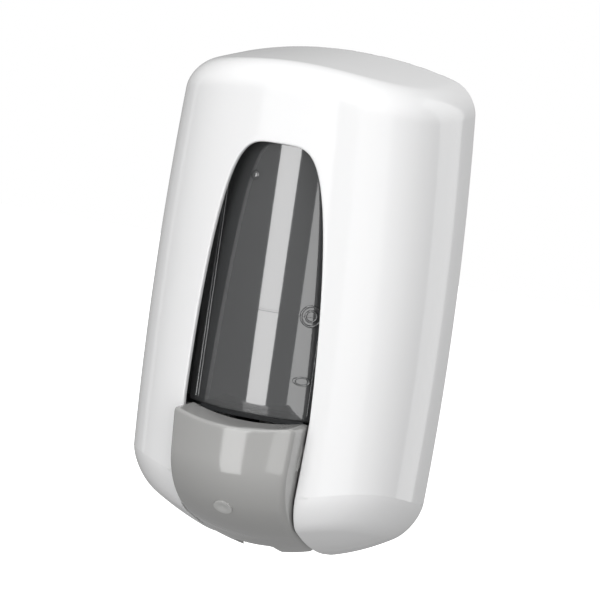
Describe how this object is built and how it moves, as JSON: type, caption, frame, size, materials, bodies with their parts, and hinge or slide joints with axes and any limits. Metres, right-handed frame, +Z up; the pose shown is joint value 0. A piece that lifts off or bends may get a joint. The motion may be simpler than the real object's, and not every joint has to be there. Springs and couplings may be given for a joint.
{
  "type": "wall mounted soap dispenser",
  "caption": "Wall mounted soap dispenser: a barrel shaped gloss cover with an arched window slot, a smoked refillable tank behind it and a push pad that drives a piston pump.",
  "frame": {"origin": "on the wall plane, at the middle of the wall plate's rear face", "axes": "+Z up the wall, +Y into the wall, so the object stands out towards -Y; +X to the right as seen from the front"},
  "size_m": [0.132, 0.1025, 0.2319],
  "materials": {
    "cover_white": "high gloss moulded ABS",
    "plate_white": "fine grained moulded ABS",
    "pump_white": "satin moulded polypropylene",
    "pad_grey": "satin gloss moulded ABS",
    "badge_grey": "fine grained moulded ABS",
    "tank_smoke": "clear smoke tinted moulding",
    "lid_smoke": "smoke tinted moulding",
    "dark_plastic": "fine grained moulded polypropylene",
    "nozzle_grey": "satin moulded polypropylene",
    "rubber_black": "matte",
    "silicone": "satin",
    "steel": "bright zinc plated",
    "steel_ball": "polished stainless",
    "lock_metal": "polished nickel plated"
  },
  "bodies": {
    "chassis": {"back_plate": "plate_white", "pump_bracket": "dark_plastic", "bracket_screws": "steel", "tank": "tank_smoke", "tank_lid": "lid_smoke", "lid_gasket": "rubber_black", "vent_plug": "rubber_black", "tank_catch": "plate_white", "outlet_seal": "rubber_black", "pump_body": "pump_white", "pump_screws": "steel", "ball_seat": "pump_white", "pump_cap": "dark_plastic", "rod_wiper": "rubber_black", "outlet_valve": "silicone", "nozzle": "nozzle_grey", "nozzle_collar": "dark_plastic", "hinge_rod": "steel", "hinge_clips": "steel", "lock_keeper": "steel", "keeper_screws": "steel"},
    "cover": {"cover": "cover_white"},
    "lock": {"lock_barrel": "lock_metal", "lock_cam": "steel", "lock_clip": "steel", "lock_screw": "steel"},
    "pad": {"push_pad": "pad_grey", "pad_badge": "badge_grey", "pad_pins": "steel"},
    "piston": {"piston": "pump_white", "piston_seal": "rubber_black", "return_spring": "steel"},
    "valve_ball": {"inlet_ball": "steel_ball"}
  },
  "joints": [
    {"name": "cover_hinge", "type": "hinge", "parent": "chassis", "child": "cover", "pos_m": [0, -0.009, 0.1108], "axis": [-1, 0, 0], "range_deg": [0, 90]},
    {"name": "lock_turn", "type": "hinge", "parent": "cover", "child": "lock", "pos_m": [-0.043, -0.024, -0.09], "axis": [0, 0, -1], "range_deg": [0, 90]},
    {"name": "pad_pivot", "type": "hinge", "parent": "chassis", "child": "pad", "pos_m": [0, -0.066, -0.05], "axis": [1, 0, 0], "range_deg": [0, 14], "stiffness_Nm_per_rad": 1, "springref_deg": -11.46},
    {"name": "pump_slide", "type": "slide", "parent": "chassis", "child": "piston", "axis": [0, 1, 0], "range_m": [0, 0.0078], "deforming": ["return_spring"]},
    {"name": "ball_lift", "type": "slide", "parent": "chassis", "child": "valve_ball", "axis": [0, 0, 1], "range_m": [0, 0.0014]}
  ],
  "couplings": [
    {"joint": "pump_slide", "follows": "pad_pivot", "m_per_rad": 0.0315}
  ]
}
